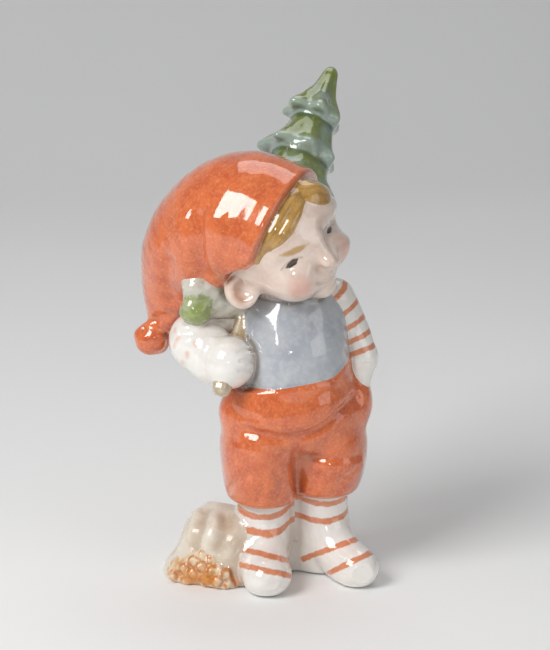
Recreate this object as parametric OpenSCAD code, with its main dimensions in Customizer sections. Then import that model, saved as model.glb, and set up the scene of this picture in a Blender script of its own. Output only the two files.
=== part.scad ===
// Porcelain Christmas elf that carries a small fir tree over its right shoulder.
// The elf looks towards -Y, its left side is +X, and it stands on Z = 0.

/* [Porcelain] */
// Wall of the hollow castings
wall = 3; // [2:0.25:4]
// Gap left for slip at each luted seam
seam = 0.1; // [0.05:0.05:0.3]
// Radius of the firing vents under the feet
vent_r = 1.5; // [1:0.25:2.5]

/* [Legs and feet] */
// Ground to the hem of the breeches
leg_h = 23; // [20:0.5:28]
// Distance between the middles of the legs
leg_spread = 16.5; // [15:0.5:19]
// Radius of a stocking at the hem
leg_r = 6.9; // [6:0.1:7.6]
// Radius of an ankle
ankle_r = 5.9; // [5.2:0.1:6.8]
// Length of a foot
foot_l = 25; // [21:0.5:29]
// Width of a foot
foot_w = 13.5; // [12:0.5:16]
// Height of a foot over the toes
foot_h = 10.5; // [8.5:0.5:12.5]
// Outward turn of the right foot
right_foot_turn = 12; // [0:1:25]
// Outward turn of the left foot
left_foot_turn = 32; // [10:1:45]

/* [Breeches] */
// Hem to waist at the middle of the front
breeches_h = 34; // [30:0.5:40]
// Width over the hips
hip_w = 40; // [36:0.5:46]
// Depth over the seat
hip_d = 31; // [26:0.5:36]
// Width of one gathered leg
breeches_leg_w = 20.6; // [18:0.2:23]
// Depth of one gathered leg
breeches_leg_d = 27; // [23:0.5:30]
// Width of one leg at its hem
hem_w = 16.4; // [15.6:0.2:18]
// Sideways slope of the waist, higher on the left
waist_slope = 9; // [0:1:14]
// Slope of the waist over the left pocket
pocket_slope = 32; // [20:1:40]

/* [Jumper] */
// Waist to the neck
torso_h = 24; // [21:0.5:28]
// Width of the jumper at the waist
waist_w = 29; // [25:0.5:33]
// Depth of the jumper at the waist
waist_d = 27; // [23:0.5:30]
// Width of the jumper at the chest
chest_w = 26; // [22:0.5:30]
// Depth of the jumper at the chest
chest_d = 21; // [18:0.5:24]
// Forward reach of the belly
belly_forward = 1.6; // [0:0.2:3]
// Radius of the neck
neck_r = 7.5; // [6:0.25:9]

/* [Head] */
// Radius of the head
head_r = 16.6; // [15:0.2:19]
// Neck to the middle of the head
head_lift = 13.4; // [11:0.2:15]
// Forward reach of the head
head_forward = 2.5; // [0:0.5:5]
// Sideways reach of the head to its right
head_side = 3.4; // [0:0.2:5]
// Turn of the head towards its left
head_turn = 26; // [10:1:40]
// Lean of the head towards its right shoulder
head_lean = 30; // [10:1:40]
// Height of the nose
nose_h = 3.6; // [2:0.2:5]
// Fullness of the cheeks
cheek_h = 1.4; // [0.6:0.2:3]
// Radius of an ear
ear_r = 5.2; // [4:0.2:6.5]
// Thickness of an ear
ear_t = 4; // [3:0.25:5.5]
// Sideways lean of the ears
ear_lean = 12; // [0:1:20]
// Forward turn of the right ear
right_ear_turn = 40; // [25:1:50]
// Backward turn of the left ear
left_ear_turn = 12; // [0:1:25]
// Shift of the left ear round the head towards the back
left_ear_shift = 16; // [5:1:25]
// Thickness of a lock of hair
lock_r = 2.3; // [1.6:0.1:3]

/* [Hat] */
// Thickness of the hat over the head
hat_t = 2.4; // [1.6:0.2:3.4]
// Radius of the bag where it folds over
bag_r = 17.4; // [15:0.2:19]
// Reach of the bag to the right of the head
bag_reach = 22.5; // [19:0.5:26]
// Drop of the bag below the middle of the head
bag_drop = 22; // [18:0.5:27]
// Radius of the bag at its end
bag_end_r = 8; // [6.5:0.25:10]
// Slope of the rim over the ears
rim_slope = 37; // [30:1:44]
// Radius of the rolled tip
tip_r = 5; // [4:0.25:6.5]
// Lean of the rolled tip
tip_lean = 20; // [0:1:40]

/* [Arms] */
// Drop of the right shoulder below the neck
shoulder_drop = 8; // [6:0.5:10]
// Reach of the right upper arm behind the middle
upper_arm_back = 6.4; // [4:0.2:8]
// Radius of the right sleeve at the elbow
elbow_r = 7.6; // [6:0.2:9]
// Reach of the right elbow from the middle
elbow_reach = 25.5; // [22:0.5:29]
// Drop of the right elbow below the neck
elbow_drop = 14.5; // [12:0.5:18]
// Reach of the right fist from the middle
fist_reach = 18.4; // [16:0.4:21]
// Forward reach of the right fist
fist_forward = 6.5; // [4:0.5:9]
// Drop of the right fist below the neck
fist_drop = 19.2; // [17:0.4:22]
// Radius of the right fist
fist_r = 6.8; // [6:0.2:8.4]
// Height of the right fist
fist_h = 16.5; // [14:0.5:19]
// Drop of the left shoulder below the neck
left_shoulder_drop = 5; // [4:0.5:7]
// Radius of the left sleeve
sleeve_r = 5; // [4:0.2:6]
// Inset of the left wrist from the side of the breeches
wrist_inset = 2.1; // [0.8:0.1:3.6]
// Forward reach of the left hand
hand_forward = 2.4; // [1:0.2:4]
// Radius of the left hand
hand_r = 4.4; // [3.6:0.2:5.2]

/* [Fir tree] */
// Radius of the trunk
trunk_r = 2.8; // [2.2:0.1:3.4]
// Clearance of the trunk in the fist
trunk_fit = 0.1; // [0.05:0.05:0.3]
// Length of the trunk below the middle of the fist
trunk_below = 9.5; // [8.5:0.5:13]
// Middle of the fist to the lowest boughs
trunk_above = 20; // [17:0.5:23]
// Height of each of the two lower tiers
low_tier_h = 16; // [13:0.5:19]
// Height of each of the two upper tiers
high_tier_h = 11.8; // [10:0.2:14]
// Height of the tree top
top_h = 17.8; // [15:0.2:21]
// Lean of the tree from upright
tree_lean = 42; // [36:0.5:48]
// Heading of the lean, from the left towards the back
tree_heading = 51.5; // [42:0.5:62]
// Reach of the lowest boughs
low_bough_r = 19; // [16:0.5:22]
// Reach of the top boughs
top_bough_r = 10; // [8:0.2:12]
// Boughs in each tier
boughs = 7; // [5:1:9]

/* [Stump] */
// Height of the stump
stump_h = 17.5; // [15:0.5:21]
// Length of the stump from front to back
stump_l = 31; // [27:0.5:36]
// Width of the stump
stump_w = 25; // [21:0.5:29]
// Depth of the bark furrows
bark_depth = 1.2; // [0.4:0.2:2]
// Size of a wood chip
chip_size = 3; // [2:0.25:4]

/* [Hidden] */
sides = 24;
steps = 3;
far = 200;
waist_z = leg_h + breeches_h;
neck_z = waist_z + torso_h;
leg_x = leg_spread / 2;
leg_bore_r = leg_r - wall;
head_at = [-head_side, -head_forward, neck_z + head_lift];
rim_way = unit([-0.83, 0.45, 0.34]);
bag_way = unit([-0.3, 0.2, -0.93]);
fist_at = [-fist_reach, -fist_forward, neck_z - fist_drop];
hip_x = leg_x * 1.16;
wrist_reach = hip_x + breeches_leg_w / 2 - wrist_inset;
stump_at = [-leg_x - leg_r - stump_w * 0.28, stump_l * 0.15, 0];

// Vector helpers
function unit(v) = v / norm(v);
function place(r) = [r[0], r[1], r[2]];
function row(p, i) = p[max(0, min(len(p) - 1, i))];

// Smooth curve through the rows of a list
function mid(a, b, c, d, t) =
    b + 0.5 * t * (c - a + t * (2 * a - 5 * b + 4 * c - d + t * (3 * b - a - 3 * c + d)));
function curve(p, n = steps) = [
    for (i = [0:len(p) - 2], k = [0:n - 1]) mid(row(p, i - 1), p[i], p[i + 1], row(p, i + 2), k / n),
    p[len(p) - 1]];

// Ellipse of points about c in the plane of u and v
function ring(c, u, v, ru, rv, n = sides) = [
    for (k = [0:n - 1]) c + u * ru * cos(360 * k / n) + v * rv * sin(360 * k / n)];

// Level rings for rows of [height, half width, half depth, shift in x, shift in y]
function levels(rows, grow = 0) = [
    for (r = rows)
        ring([r[3], r[4], r[0]], [1, 0, 0], [0, 1, 0], r[1] + grow, r[2] + grow, grow < 0 ? 16 : sides)];

// Rings along a path of rows [x, y, z, radius], each square to its own way, and round domes for its ends
function heading(p, i) = unit(place(row(p, i + 1)) - place(row(p, i - 1)));
function dome(r, way, t) = [for (a = t) [each (place(r) + way * r[3] * sin(a)), r[3] * cos(a)]];
function domed(p) = concat(dome(p[0], -heading(p, 0), [78, 52, 26]), p,
    dome(p[len(p) - 1], heading(p, len(p) - 1), [26, 52, 78]));
function headings(p) = [for (i = [0:len(p) - 1]) heading(p, i)];
function path_rings(p, ways, side, grow = 0) = [
    for (i = [0:len(p) - 1])
        let (u = unit(cross(side, ways[i])))
            ring(place(p[i]), u, cross(ways[i], u), p[i][3] + grow, p[i][3] + grow)];

// Solid skinned over rings that all have the same count of points
module skin(rings) {
    n = len(rings[0]);
    last = len(rings) - 1;
    polyhedron(
        [for (r = rings) each r],
        concat(
            [[for (k = [0:n - 1]) k]],
            [for (i = [0:last - 1], k = [0:n - 1])
                each [[i * n + k, i * n + n + k, i * n + n + (k + 1) % n],
                    [i * n + k, i * n + n + (k + 1) % n, i * n + (k + 1) % n]]],
            [[for (k = [n - 1:-1:0]) last * n + k]]));
}

// Ball whose radius in each direction comes from a function of that direction
module ball(radius, n = sides) {
    skin([for (a = [-82:164 / (n / 2):82.1])
        [for (k = [0:n - 1])
            let (d = [cos(a) * cos(360 * k / n), cos(a) * sin(360 * k / n), sin(a)]) d * radius(d)]]);
}

// Ellipsoid with half sizes s
module pebble(s, n = sides) {
    ball(function(d) 1 / norm([d[0] / s[0], d[1] / s[1], d[2] / s[2]]), n);
}

// Bump of height h and angular width w about the direction m
function bump(d, m, w, h) = h * exp(-pow(acos(min(1, d * unit(m))) / w, 2));

// One leg with its foot, grown by g
module leg_form(side, turn, g = 0) {
    translate([side * leg_x, 0, 0]) {
        skin(levels(curve([
            [g > 0 ? -g : 0, ankle_r, ankle_r, 0, 0],
            [leg_h * 0.35, ankle_r, ankle_r, 0, 0],
            [leg_h * 0.7, leg_r, leg_r, 0, 0],
            [leg_h, leg_r, leg_r, 0, 0]], 2), g));
        intersection() {
            rotate([0, 0, side * turn])
                translate([0, -foot_l * 0.23, foot_h * 0.42])
                    pebble([foot_w / 2 + g, foot_l / 2 + g, foot_h * 0.58 + g]);
            translate([-far / 2, -far / 2, g > 0 ? -g : 0])
                cube(far);
        }
    }
}

module leg(side, turn) {
    difference() {
        leg_form(side, turn);
        translate([side * leg_x, 0, wall])
            cylinder(r = leg_bore_r, h = leg_h, $fn = 48);
        translate([side * leg_x, 0, -1])
            cylinder(r = vent_r, h = wall + 2, $fn = 32);
    }
}

module right_leg() {
    color("white")
        leg(-1, right_foot_turn);
}

module left_leg() {
    color("white")
        leg(1, left_foot_turn);
}

// Thin wall of porcelain that ties the legs together
module leg_web() {
    color("white")
        difference() {
            translate([-leg_x / 2, -ankle_r * 0.25, 0])
                cube([leg_x, ankle_r, leg_h - seam]);
            leg_form(-1, right_foot_turn, seam);
            leg_form(1, left_foot_turn, seam);
        }
}

// Half space above a level that slopes up towards the left from the place x
module above_slope(x, lift, slope) {
    translate([x, 0, waist_z + lift])
        rotate([0, -slope, 0])
            translate([-far / 2, -far / 2, 0])
                cube(far);
}

// Space above the sloping waist, which rises over the left pocket
module above_waist(lift) {
    intersection() {
        above_slope(0, lift, waist_slope);
        above_slope(waist_w * 0.2, lift, pocket_slope);
    }
}

// Breeches grown by g
module breeches_form(g = 0, hem_r = hem_w / 2) {
    skin(levels(curve([
        [leg_h + breeches_h * 0.4, hip_w * 0.3, hip_d * 0.36, 0, 0],
        [leg_h + breeches_h * 0.52, hip_w * 0.455, hip_d * 0.46, 0, hip_d * 0.006],
        [leg_h + breeches_h * 0.72, hip_w * 0.5, hip_d * 0.5, 0, hip_d * 0.01],
        [waist_z, waist_w * 0.56, waist_d * 0.56, 0, -belly_forward * 0.4],
        [waist_z + breeches_h * 0.2, waist_w * 0.5, waist_d * 0.5, 0, -belly_forward * 0.5]],
        g < 0 ? 1 : steps), g));
    for (side = [-1, 1])
        skin(levels(curve([
            [leg_h - (g < 0 ? wall : 0), hem_r - g, hem_r - g, side * leg_x, 0],
            [leg_h + breeches_h * 0.07, breeches_leg_w * 0.46, breeches_leg_d * 0.42, side * hip_x * 0.9, 0],
            [leg_h + breeches_h * 0.25, breeches_leg_w * 0.5, breeches_leg_d * 0.5, side * hip_x * 0.98, 0],
            [leg_h + breeches_h * 0.48, breeches_leg_w * 0.49, breeches_leg_d * 0.5, side * hip_x, 0],
            [leg_h + breeches_h * 0.66, breeches_leg_w * 0.38, breeches_leg_d * 0.42, side * hip_x, 0]],
            g < 0 ? 1 : steps), g));
}

module breeches() {
    color("orangered")
        difference() {
            breeches_form();
            breeches_form(-wall, leg_bore_r);
            above_waist(-seam);
        }
}

// Jumper grown by g
module torso_form(g = 0) {
    skin(levels(curve([
        [waist_z - torso_h * 0.3, waist_w * 0.49, waist_d * 0.49, 0, -belly_forward * 0.6],
        [waist_z, waist_w * 0.5, waist_d * 0.5, 0, -belly_forward * 0.9],
        [waist_z + torso_h * 0.35, waist_w * 0.485, waist_d * 0.49, 0, -belly_forward],
        [waist_z + torso_h * 0.72, chest_w * 0.5, chest_d * 0.5, 0, -belly_forward * 0.25],
        [neck_z - neck_r * 0.32 + g, neck_r * 1.35, neck_r * 1.2, 0, 0],
        [neck_z + g, neck_r, neck_r, 0, 0]], g < 0 ? 1 : steps), g));
}

module torso() {
    color("lightsteelblue")
        difference() {
            intersection() {
                torso_form();
                above_waist(0);
            }
            intersection() {
                torso_form(-wall);
                translate([0, 0, neck_z - wall - far])
                    linear_extrude(far)
                        square(far, center = true);
            }
            translate([0, 0, neck_z - 2 * wall])
                cylinder(r = neck_r - 1.3 * wall, h = 3 * wall, $fn = 48);
        }
}

// Places the children in the frame of the head
module on_head() {
    translate(head_at)
        rotate([0, -head_lean, head_turn])
            children();
}

// Head grown by g, with two cheeks, a chin and the hollows of the eyes
module head_form(g = 0) {
    on_head()
        ball(function(d) head_r + g
            + bump(d, [-0.56, -0.74, -0.42], 22, cheek_h)
            + bump(d, [0.56, -0.74, -0.42], 22, cheek_h)
            + bump(d, [0, -0.7, -0.72], 15, cheek_h)
            - bump(d, [-0.45, -0.88, 0.14], 13, cheek_h * 0.7)
            - bump(d, [0.45, -0.88, 0.14], 13, cheek_h * 0.7), 32);
}

module head() {
    color("seashell")
        difference() {
            union() {
                head_form();
                on_head()
                    translate([0, -head_r, -head_r * 0.1])
                        pebble([nose_h * 0.8, nose_h, nose_h * 0.75], 12);
            }
            on_head()
                ball(function(d) head_r - wall, 16);
            torso_form(seam);
        }
}

// Places the children on one ear, the left one flatter and further back
module on_ear(side) {
    on_head()
        rotate([0, 0, side > 0 ? left_ear_shift : 0])
            translate([side * (head_r + ear_t * (side > 0 ? 0.2 : 0.35)), ear_r * 0.1, -head_r * 0.24])
                rotate([0, side * ear_lean, side > 0 ? -left_ear_turn : right_ear_turn])
                    children();
}

// Ear on one side grown by g, a rounded disc
module ear_form(side, g = 0) {
    on_ear(side)
        pebble([ear_t / 2 + g, ear_r + g, ear_r * 1.05 + g], 20);
}

// Ear on one side with the hollow in its face
module ear(side) {
    difference() {
        ear_form(side);
        on_ear(side)
            translate([side * ear_t * 0.56, -ear_r * 0.15, 0])
                pebble([ear_t * 0.4, ear_r * 0.56, ear_r * 0.62], 16);
        head_form(seam);
        torso_form(seam);
    }
}

module right_ear() {
    color("seashell")
        ear(-1);
}

module left_ear() {
    color("seashell")
        ear(1);
}

// Lock of hair over the head through the directions listed
module lock(ways, radii) {
    rows = domed(curve([
        for (i = [0:len(ways) - 1]) [each (unit(ways[i]) * (head_r + lock_r * 0.1)), radii[i]]], 4));
    on_head()
        skin(path_rings(rows, headings(rows), [0, 0, 1]));
}

module hair_fringe() {
    color("goldenrod")
        difference() {
            union() {
                lock([[0.02, -0.48, 0.86], [0.3, -0.64, 0.76], [0.52, -0.66, 0.6]],
                    [lock_r, lock_r * 1.5, lock_r]);
                lock([[0.02, -0.56, 0.86], [-0.4, -0.66, 0.7], [-0.76, -0.56, 0.48]],
                    [lock_r * 1.2, lock_r, lock_r * 0.6]);
            }
            head_form(seam);
            hat_form(seam);
        }
}

// Hat grown by g, from the rim round the face to the end of the bag
module hat_form(g = 0) {
    rows = curve([
        [each head_at, head_r + hat_t],
        [each (head_at + [-bag_reach * 0.4, bag_reach * 0.28, bag_drop * 0.13]), head_r + hat_t],
        [each (head_at + [-bag_reach * 0.79, bag_reach * 0.6, -bag_drop * 0.17]), bag_r],
        [each (head_at + [-bag_reach, bag_reach * 0.82, -bag_drop * 0.58]), bag_r * 0.76],
        [each (head_at + [-bag_reach * 1.12, bag_reach * 0.9, -bag_drop * 1.04]), bag_end_r]]);
    end = len(rows) - 1;
    ways = [for (i = [0:end]) unit(rim_way * (1 - i / end) + bag_way * i / end)];
    skin(path_rings(concat(rows, dome(rows[end], bag_way, [30, 58, 80])),
        concat(ways, [for (i = [0:2]) bag_way]), [0, 1, 0], g));
}

module hat() {
    color("orangered")
        difference() {
            hat_form();
            head_form(seam);
            torso_form(seam);
            ear_form(-1, seam);
            ear_form(1, seam);
            below_rim();
        }
}

// Space below and in front of the ears, which the rim leaves free
module below_rim() {
    on_head()
        translate([0, -ear_r * 0.4, ear_r * 0.35])
            rotate([-rim_slope, 0, 0])
                translate([-far / 2, -far / 2, -far])
                    cube(far);
}

// Rolled tip of the bag
module hat_tip() {
    color("orangered")
        difference() {
            translate(head_at + [-bag_reach * 1.4, bag_reach * 0.86, -bag_drop * 1.38])
                rotate([0, tip_lean, 0])
                    pebble([tip_r, tip_r, tip_r * 1.15], 20);
            hat_form(seam);
            right_sleeve_form(seam);
        }
}

// Right sleeve grown by g: the upper arm, then the forearm with a flat cuff towards the fist
module right_sleeve_form(g = 0) {
    elbow = [-elbow_reach, upper_arm_back * 0.38, neck_z - elbow_drop];
    cuff = elbow * 0.45 + fist_at * 0.55 - [0, 0, elbow_r * 0.26];
    upper = domed(curve([
        [-chest_w * 0.42, upper_arm_back, neck_z - shoulder_drop, elbow_r * 0.76],
        [-elbow_reach * 0.76, upper_arm_back * 1.1, neck_z - elbow_drop * 0.85, elbow_r * 0.9],
        [each elbow, elbow_r]]));
    fore = [
        [each elbow, elbow_r],
        [each (elbow * 0.5 + cuff * 0.5), elbow_r * 0.98],
        [each cuff, elbow_r * 0.9]];
    low = concat(dome(fore[0], -heading(fore, 0), [78, 52, 26]), fore);
    skin(path_rings(upper, headings(upper), [0, 0, 1], g));
    skin(path_rings(low, headings(low), [0, 0, 1], g));
}

module right_sleeve() {
    color("white")
        difference() {
            right_sleeve_form();
            torso_form(seam);
            head_form(seam);
            hat_form(seam);
            tree_bore(seam);
        }
}

// Places the children on the axis of the tree, with the middle of the fist at the origin
module on_tree() {
    translate(fist_at)
        rotate([0, tree_lean, tree_heading])
            children();
}

// Round space that the trunk passes through
module tree_bore(fit) {
    on_tree()
        translate([0, 0, -far / 2])
            cylinder(r = trunk_r + fit, h = far / 2 + trunk_above, $fn = 48);
}

// Fist with ridges for the fingers on its inner side
module right_fist() {
    color("white")
        difference() {
            translate(fist_at)
                ball(function(d) 1 / norm([d[0] / fist_r, d[1] / fist_r, d[2] * 2 / fist_h])
                    + bump(d, [1, -0.4, 0.62], 20, fist_r * 0.05)
                    + bump(d, [1, -0.4, 0], 17, fist_r * 0.05)
                    + bump(d, [1, -0.4, -0.62], 20, fist_r * 0.05), 28);
            tree_bore(trunk_fit);
            right_sleeve_form(seam);
            torso_form(seam);
            breeches_form(seam);
        }
}

// Left sleeve grown by g
module left_sleeve_form(g = 0) {
    rows = domed(curve([
        [chest_w * 0.43, hand_forward * 0.25, neck_z - left_shoulder_drop, sleeve_r * 1.1],
        [chest_w * 0.57, hand_forward * 0.25, neck_z - torso_h * 0.5, sleeve_r * 1.04],
        [wrist_reach, -hand_forward * 0.5, waist_z + torso_h * 0.16, sleeve_r * 0.94]]));
    skin(path_rings(rows, headings(rows), [0, 1, 0], g));
}

module left_sleeve() {
    color("white")
        difference() {
            left_sleeve_form();
            torso_form(seam);
            head_form(seam);
            breeches_form(seam);
        }
}

module left_hand() {
    color("white")
        difference() {
            translate([wrist_reach + hand_r * 0.05, -hand_forward, waist_z - hand_r * 0.3])
                pebble([hand_r, hand_r * 1.1, hand_r * 1.5], 20);
            left_sleeve_form(seam);
            breeches_form(seam);
            torso_form(seam);
        }
}

module tree_trunk() {
    color("tan")
        difference() {
            on_tree()
                translate([0, 0, -trunk_below])
                    cylinder(r = trunk_r, h = trunk_below + trunk_above, $fn = 48);
            torso_form(seam);
            head_form(seam);
            hat_form(seam);
            breeches_form(seam);
        }
}

// Bell-shaped tier of boughs of reach r and height h, from the seat radius b to the top radius t, with
// drooping tips that are longest towards the angle way
module tier(r, h, b, t, droop, way, part) {
    n = boughs * 5;
    rows = [[0, b, 0], [-droop * 0.45, (b + r) * 0.5, 0.5], [-droop, r * 0.88, 0.95], [-droop * 0.7, r, 1],
        [h * 0.14 - droop * 0.6, r * 0.92, 1], [h * 0.34 - droop * 0.3, t + (r - t) * 0.56, 0.7],
        [h * 0.6, t + (r - t) * 0.25, 0.35], [h, t, 0]];
    skin([for (q = rows)
        [for (k = [0:n - 1])
            let (a = 360 * k / n, w = cos(boughs * (a - way)),
                reach = 1 - part * min(1, q[2] * 1.5) * (1 - pow(cos((a - way) / 2), 4)),
                s = q[1] * reach * (1 + 0.12 * q[2] * w))
                [s * cos(a), s * sin(a), q[0] - q[2] * r * 0.05 * w]]]);
}

// Single thick bough that leaves the trunk towards the angle way and droops at its end
module bough(way, reach, droop, w) {
    out = [cos(way), sin(way), 0];
    rows = domed(curve([
        [each (out * reach * 0.24 - [0, 0, droop * 0.3]), w],
        [each (out * reach * 0.6 - [0, 0, droop * 0.6]), w],
        [each (out * reach - [0, 0, droop]), w * 0.9]], 2));
    skin(path_rings(rows, headings(rows), [-sin(way), cos(way), 0]));
}

// Cuts the children where they lie against the hat, the head and the body
module clear_of_figure() {
    difference() {
        children();
        hat_form(seam);
        head_form(seam);
        torso_form(seam);
        right_sleeve_form(seam);
        ear_form(-1, seam);
        ear_form(1, seam);
        left_sleeve_form(seam);
    }
}

// Tier of the crown counted from below, with its droop as a share of its reach
module crown_tier(i, droop, way, part) {
    hs = [low_tier_h, low_tier_h, high_tier_h, high_tier_h, top_h];
    at = [0, low_tier_h, 2 * low_tier_h, 2 * low_tier_h + high_tier_h, 2 * low_tier_h + 2 * high_tier_h];
    r = [for (k = [0:4]) low_bough_r + (top_bough_r - low_bough_r) * pow(k / 4, 1.4)];
    neck = 0.58;
    top_r = i < 4 ? r[i + 1] * neck : trunk_r * 0.6;
    clear_of_figure()
        on_tree()
            translate([0, 0, trunk_above + seam + at[i]])
                tier(r[i], hs[i] - seam, r[i] * neck, top_r, r[i] * droop, way, part);
}

module lowest_boughs() {
    color("darkolivegreen")
        difference() {
            clear_of_figure()
                on_tree()
                    translate([0, 0, trunk_above]) {
                        bough(146, low_bough_r * 0.88, low_bough_r * 0.33, low_bough_r * 0.21);
                        bough(129, low_bough_r * 0.74, low_bough_r * 0.53, low_bough_r * 0.17);
                    }
            tree_bore(trunk_fit);
        }
}

module lower_boughs() {
    color("darkolivegreen")
        crown_tier(1, 0.17, 50, 0.4);
}

module middle_boughs() {
    color("darkolivegreen")
        crown_tier(2, 0.17, 110, 0.1);
}

module upper_boughs() {
    color("darkolivegreen")
        crown_tier(3, 0.12, 110, 0.25);
}

module tree_top() {
    color("darkolivegreen")
        crown_tier(4, 0.1, 160, 0.3);
}

// Stump grown by g, with bark furrows that run from its top to the ground, and a little over at both ends
module stump_form(g = 0) {
    rows = concat([[-1, 1, 1, 0]],
        curve([
            [0, 1, 1, 0],
            [stump_h * 0.25, 0.88, 0.9, 0.1],
            [stump_h * 0.75, 0.72, 0.76, 0.24],
            [stump_h, 0.4, 0.5, 0.26]]),
        [[stump_h + 1, 0.4, 0.5, 0.26]]);
    translate(stump_at)
        skin([for (r = rows)
            [for (k = [0:35])
                let (a = 10 * k, f = g + bark_depth * sin(a * 6 + 30))
                    [(stump_w / 2 * r[1] + f) * cos(a) + stump_w * 0.5 * r[3],
                        (stump_l / 2 * r[2] + f) * sin(a), r[0]]]]);
}

module stump() {
    color("antiquewhite")
        difference() {
            intersection() {
                stump_form();
                translate([-far / 2, -far / 2, 0])
                    cube([far, far, stump_h]);
            }
            translate(stump_at + [0, 0, wall])
                cylinder(r1 = stump_w * 0.19, r2 = stump_w * 0.12, h = stump_h - 3 * wall, $fn = 48);
            translate(stump_at + [0, 0, -1])
                cylinder(r = vent_r, h = wall + 2, $fn = 32);
            leg_form(-1, right_foot_turn, seam);
        }
}

// Wood chip at the angle a round the stump, at the share e of its foot and the height z
module chip(a, e, z, turn) {
    translate(stump_at + [stump_w / 2 * e * cos(a), stump_l / 2 * e * sin(a), z])
        rotate([0, 0, turn])
            pebble([chip_size * 1.15, chip_size * 0.85, chip_size * 0.8], 10);
}

module wood_chips() {
    color("peru")
        difference() {
            union() {
                for (i = [0:4])
                    chip(208 + 22 * i, 0.98, chip_size * 0.5, 70 * i);
                for (i = [0:3])
                    chip(214 + 20 * i, 0.9, chip_size * 1.7, 50 * i);
            }
            translate([-far / 2, -far / 2, -far])
                cube(far);
            stump_form(seam);
            leg_form(-1, right_foot_turn, seam);
        }
}

right_leg();
left_leg();
leg_web();
breeches();
torso();
head();
right_ear();
left_ear();
hair_fringe();
hat();
hat_tip();
right_sleeve();
right_fist();
left_sleeve();
left_hand();
tree_trunk();
lowest_boughs();
lower_boughs();
middle_boughs();
upper_boughs();
tree_top();
stump();
wood_chips();
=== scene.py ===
"""Looks of the porcelain elf that carries a fir tree.

Each piece is sculpted as a distance field, in millimetres and in the axes of the frame, and its surface
is meshed. Neighbours share one softened surface and meet along their seam. Paint is worked out at the
points of each mesh and mixed in its glaze.
"""

import math
from concurrent.futures import ThreadPoolExecutor
from functools import reduce

import bpy
import numpy as np
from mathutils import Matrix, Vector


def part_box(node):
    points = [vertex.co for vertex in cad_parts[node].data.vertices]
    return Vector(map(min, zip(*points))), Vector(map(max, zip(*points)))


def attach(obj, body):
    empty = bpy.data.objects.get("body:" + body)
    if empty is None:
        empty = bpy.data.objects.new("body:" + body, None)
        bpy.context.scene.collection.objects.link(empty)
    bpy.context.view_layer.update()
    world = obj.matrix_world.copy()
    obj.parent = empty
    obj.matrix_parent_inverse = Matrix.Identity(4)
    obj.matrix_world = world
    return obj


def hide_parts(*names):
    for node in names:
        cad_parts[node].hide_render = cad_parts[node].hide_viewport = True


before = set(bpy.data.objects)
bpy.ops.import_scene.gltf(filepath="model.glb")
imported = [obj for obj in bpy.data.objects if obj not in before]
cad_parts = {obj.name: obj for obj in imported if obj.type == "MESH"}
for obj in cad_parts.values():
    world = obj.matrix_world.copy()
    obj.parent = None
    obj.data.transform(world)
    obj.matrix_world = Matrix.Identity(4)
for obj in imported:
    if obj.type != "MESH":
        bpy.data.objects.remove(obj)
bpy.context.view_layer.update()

MM = 0.001
COARSE = 1.0
SOFTEN = 0.4


def vec(*values):
    return np.array(values, float)


def unit(v):
    return np.asarray(v, float) / np.linalg.norm(v)


def turned(axis, degrees):
    """Matrix of a turn about the x, y or z axis."""
    c, s = math.cos(math.radians(degrees)), math.sin(math.radians(degrees))
    i, j = {"x": (1, 2), "y": (2, 0), "z": (0, 1)}[axis]
    m = np.eye(3)
    m[i, i], m[i, j], m[j, i], m[j, j] = c, -s, s, c
    return m


def node_box(name):
    lo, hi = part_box(name)
    return np.array(lo) / MM, np.array(hi) / MM


# Places and sizes, in millimetres
HEM_Z = node_box("breeches")[0][2]
STUMP_TOP = node_box("stump")[1][2]
WAIST_Z = 57.0
WAIST_SLOPE, POCKET_SLOPE, POCKET_X = 9.0, 32.0, 5.8
LEG_X, LEG_R, ANKLE_R = 8.25, 6.9, 5.9
FOOT_TURN = {-1: 8.0, 1: 26.0}
TOE_W = {-1: 6.6, 1: 5.6}
HEAD = vec(-3.4, -2.5, 94.4)
HEAD_R = 16.6
HEAD_AXES = turned("z", 26) @ turned("y", -30)
RIM_WAY = unit((-0.77, 0.525, 0.357))
FIST = vec(-18.4, -6.5, 61.8)
TREE_AXES = turned("z", 51.5) @ turned("y", 42)
TREE_S = [20.1, 36.1, 52.1, 63.9, 75.7, 93.5]
TREE_R = [19 - 9 * (k / 4) ** 1.4 for k in range(5)]
STUMP = vec(-22.15, 4.7, 0.0)
STUMP_W, STUMP_L = 25.0, 31.0

# The camera that was fitted to the photograph, whose long side is 650 pixels
CAMERA_AT = vec(-125.7, -567.8, 225.3)
CAMERA_LENS, CAMERA_SENSOR = 125.78, 36.0
CAMERA_AZIMUTH, CAMERA_ELEVATION = -12.0, 15.0
PHOTO_W, PHOTO_H = 550, 650
# Nearest and furthest distance at which a pixel is followed
LOOK_FROM, LOOK_TO = 520.0, 680.0


# Distance fields: each takes points, one to a row, and gives the distance to a surface, negative inside
def size_of(v):
    return np.sqrt(np.einsum("ij,ij->i", v, v))


def ellipsoid(p, centre, radii, axes=None):
    q = p - centre + 1e-6
    if axes is not None:
        q = q @ axes
    a = q / np.asarray(radii, float)
    k = size_of(a)
    return k * (k - 1) / size_of(a / np.asarray(radii, float))


def spans(p, rows):
    """Distance to the middle line of each span of a tube, and the radius of the tube there."""
    rows = np.asarray(rows, float)
    for a, b in zip(rows[:-1], rows[1:]):
        along = b[:3] - a[:3]
        q = p - a[:3]
        t = np.clip(q @ along / (along @ along), 0, 1)
        yield size_of(q - t[:, None] * along), a[3] + t * (b[3] - a[3])


def tube(p, rows):
    """Round tube through rows of x, y, z and radius."""
    return reduce(np.minimum, (away - r for away, r in spans(p, rows)))


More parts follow.
